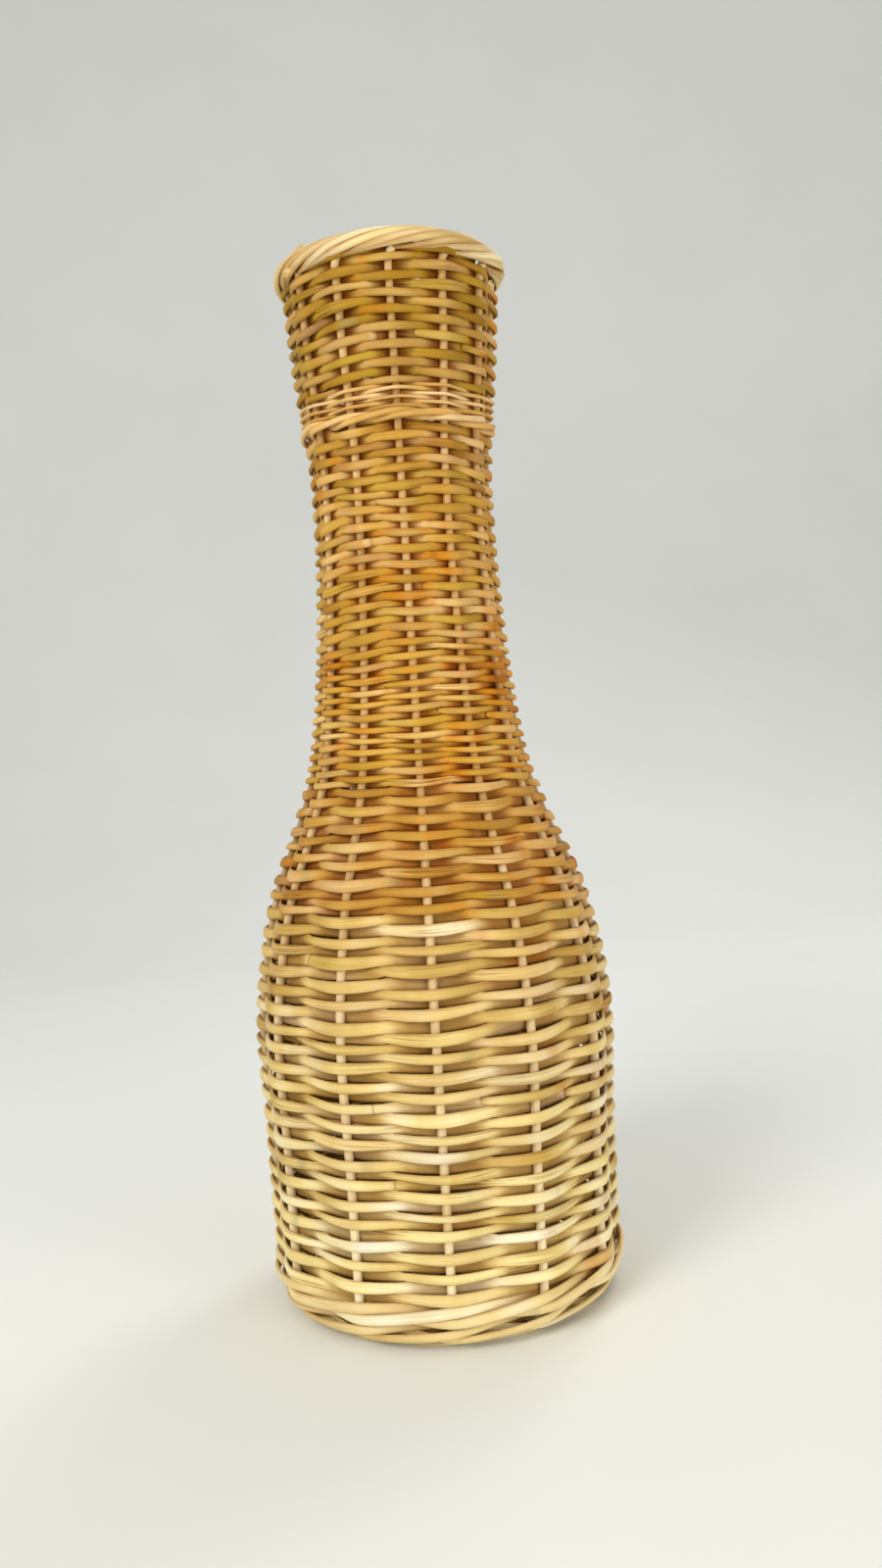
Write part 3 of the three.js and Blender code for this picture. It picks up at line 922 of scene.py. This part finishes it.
def cane_material(name, main, stain, painted_shade_colour, zones=()):
    """Bare rattan: its main tones, how stained it is, and the colour that is multiplied in as painted
    shade behind the stakes and along its edges. Each zone is two heights in metres and the tones it turns
    to between them."""
    n = CaneNodes(name)
    blotch = n.along_cane(45, 3.0)
    streak = n.lines(40, 5, 3)
    colour = drift(n, main, zones, blotch, streak)
    colour = stained(n, colour, blotch, stain)
    colour, knot = knotted(n, colour)
    colour = fibrous(n, colour, stain)
    shade = n.add("ShaderNodeAttribute", attribute_name="shade").outputs["Fac"]
    # The shade attribute multiplies the painted shade colour into the cane's colour
    n.put(n.mix(shade, colour, painted_shade_colour, "MULTIPLY"), n.shader.inputs["Base Color"])
    n.put(n.remap(streak, 0.3, 0.7, 0.42, 0.62), n.shader.inputs["Roughness"])
    n.shader.inputs["Specular IOR Level"].default_value = 0.1
    grain = n.total((0.4, n.lines(120, 12, 2)), (0.8, knot))
    bump = n.add("ShaderNodeBump", {"Height": grain, "Strength": 0.3, "Distance": 0.0005})
    n.put(bump.outputs["Normal"], n.shader.inputs["Normal"])
    return n.material


def tones(*colours):
    return [srgb(*colour) for colour in colours]


def make_materials():
    # Colours multiplied in as painted shade behind the stakes and along the edges
    olive = srgb(172, 129, 28)
    brown = srgb(180, 124, 28)
    umber = srgb(188, 125, 18)
    # Low down the stakes, the foot and the body are paler, higher up darker and more golden: partly the
    # canes' own tone, partly painted light from a glow beneath the vase
    stake_low = tones((210, 178, 122), (246, 228, 184), (254, 248, 226))
    stake_high = tones((162, 120, 64), (204, 162, 102), (232, 198, 144))
    stake_rim = tones((172, 142, 66), (238, 214, 152), (255, 250, 220))
    stake_zones = [(0.05, 0.3, stake_high), (0.584, 0.592, stake_rim)]
    base = tones((160, 118, 50), (204, 168, 96), (236, 206, 144))
    foot = tones((208, 174, 102), (245, 221, 159), (252, 245, 214))
    body_low = tones((203, 165, 70), (251, 232, 163), (255, 253, 236))
    body_high = tones((150, 102, 12), (206, 160, 66), (250, 220, 158))
    shoulder = tones((146, 92, 10), (202, 152, 66), (246, 212, 158))
    flare = tones((150, 96, 6), (210, 160, 60), (250, 216, 146))
    neck = tones((144, 92, 6), (202, 154, 62), (242, 206, 146))
    band = tones((172, 122, 42), (224, 178, 98), (255, 230, 182))
    collar = tones((123, 82, 2), (178, 136, 40), (220, 184, 112))
    return {
        "stake": cane_material("stake_cane", stake_low, 0.25, brown, stake_zones),
        "base": cane_material("base_cane", base, 0.4, olive),
        "foot": cane_material("foot_cane", foot, 0.2, olive),
        "body": cane_material("body_cane", body_low, 0.6, olive, [(0.05, 0.3, body_high)]),
        "shoulder": cane_material("shoulder_cane", shoulder, 0.8, umber),
        "flare": cane_material("flare_cane", flare, 0.8, umber),
        "neck": cane_material("neck_cane", neck, 0.8, umber),
        "band": cane_material("band_cane", band, 0.4, brown),
        "collar": cane_material("collar_cane", collar, 0.8, brown),
    }


# Stage, light and camera
def flat_material(name, colour, rough):
    """A plain surface with faint, wide blotches."""
    n = Nodes(name)
    blotch = n.noise(n.add("ShaderNodeTexCoord").outputs["Object"], 3, 3)
    darker = (*(0.97 * part for part in colour[:3]), 1)
    n.put(n.mix(n.remap(blotch, 0.3, 0.7), colour, darker), n.shader.inputs["Base Color"])
    n.shader.inputs["Roughness"].default_value = rough
    return n.material


def make_stage():
    half_width = 7.0
    front = -3.0
    back = 3.0
    sweep_radius = 1.6
    sweep_steps = 16
    top = 6.0
    section = [(front, 0.0), (back - sweep_radius, 0.0)]
    section += [(back - sweep_radius + sweep_radius * math.sin(a), sweep_radius * (1 - math.cos(a)))
                for a in np.linspace(0, math.pi / 2, sweep_steps + 1)[1:]]
    section.append((back, top))
    points = [(x, y, z) for y, z in section for x in (-half_width, half_width)]
    faces = [(2 * i, 2 * i + 1, 2 * i + 3, 2 * i + 2) for i in range(len(section) - 1)]
    mesh = bpy.data.meshes.new("studio_floor")
    mesh.from_pydata(points, [], faces)
    mesh.polygons.foreach_set("use_smooth", [True] * len(faces))
    mesh.materials.append(flat_material("studio_paper", srgb(240, 242, 239), 0.9))
    floor = bpy.data.objects.new("studio_floor", mesh)
    bpy.context.scene.collection.objects.link(floor)


def area_light(name, place, target, size, power, colour):
    light = bpy.data.lights.new(name, "AREA")
    light.shape = "DISK"
    light.size = size
    light.energy = power
    light.color = colour
    lamp = bpy.data.objects.new(name, light)
    bpy.context.scene.collection.objects.link(lamp)
    lamp.location = place
    lamp.rotation_euler = (Vector(target) - Vector(place)).to_track_quat("-Z", "Y").to_euler()


def make_lights():
    middle = (0, 0, 0.3)
    warm = (1.0, 0.98, 0.95)
    area_light("key", (-1.2, -1.7, 1.5), middle, size=1.2, power=31, colour=warm)
    area_light("fill", (1.3, -1.7, 0.2), middle, size=1.2, power=19, colour=warm)
    area_light("rear", (0.9, 1.3, 1.8), middle, size=1.0, power=12, colour=warm)
    world = bpy.data.worlds.new("studio")
    bpy.context.scene.world = world
    world.use_nodes = True
    background = world.node_tree.nodes["Background"]
    background.inputs["Color"].default_value = srgb(230, 230, 226)
    background.inputs["Strength"].default_value = 0.67


def make_camera():
    image_width, image_height = 900, 1600
    focal_pixels = 1300
    film = 36.0
    distance = 0.760
    eye_height = 0.3077
    axis_x, horizon_y = 427.6, 780
    roll = math.radians(-3.55)
    camera = bpy.data.cameras.new("camera")
    camera.sensor_fit = "VERTICAL"
    camera.sensor_height = film
    camera.lens = film * focal_pixels / image_height
    camera.shift_x = (image_width / 2 - axis_x) / image_height
    camera.shift_y = (horizon_y - image_height / 2) / image_height
    camera.clip_start = 0.01
    view = bpy.data.objects.new("camera", camera)
    bpy.context.scene.collection.objects.link(view)
    turn = Matrix.Rotation(math.pi / 2, 4, "X") @ Matrix.Rotation(roll, 4, "Z")
    view.matrix_world = Matrix.Translation((0, -distance, eye_height)) @ turn
    bpy.context.scene.camera = view


def build():
    bpy.context.scene.view_settings.view_transform = "Standard"
    make_camera()
    make_lights()
    make_stage()
    materials = make_materials()
    for index in range(CANE_COUNT):
        make_cane(index, materials["stake"])
    for name in ("base", "body", "shoulder", "flare", "neck"):
        chase_pair(name, materials[name])
    three_strand_band("foot", "foot_band", materials["foot"])
    three_strand_band("neck_band", "neck_band", materials["band"])
    chase_pair("fine", materials["band"])
    chase_pair("collar", materials["collar"])


build()
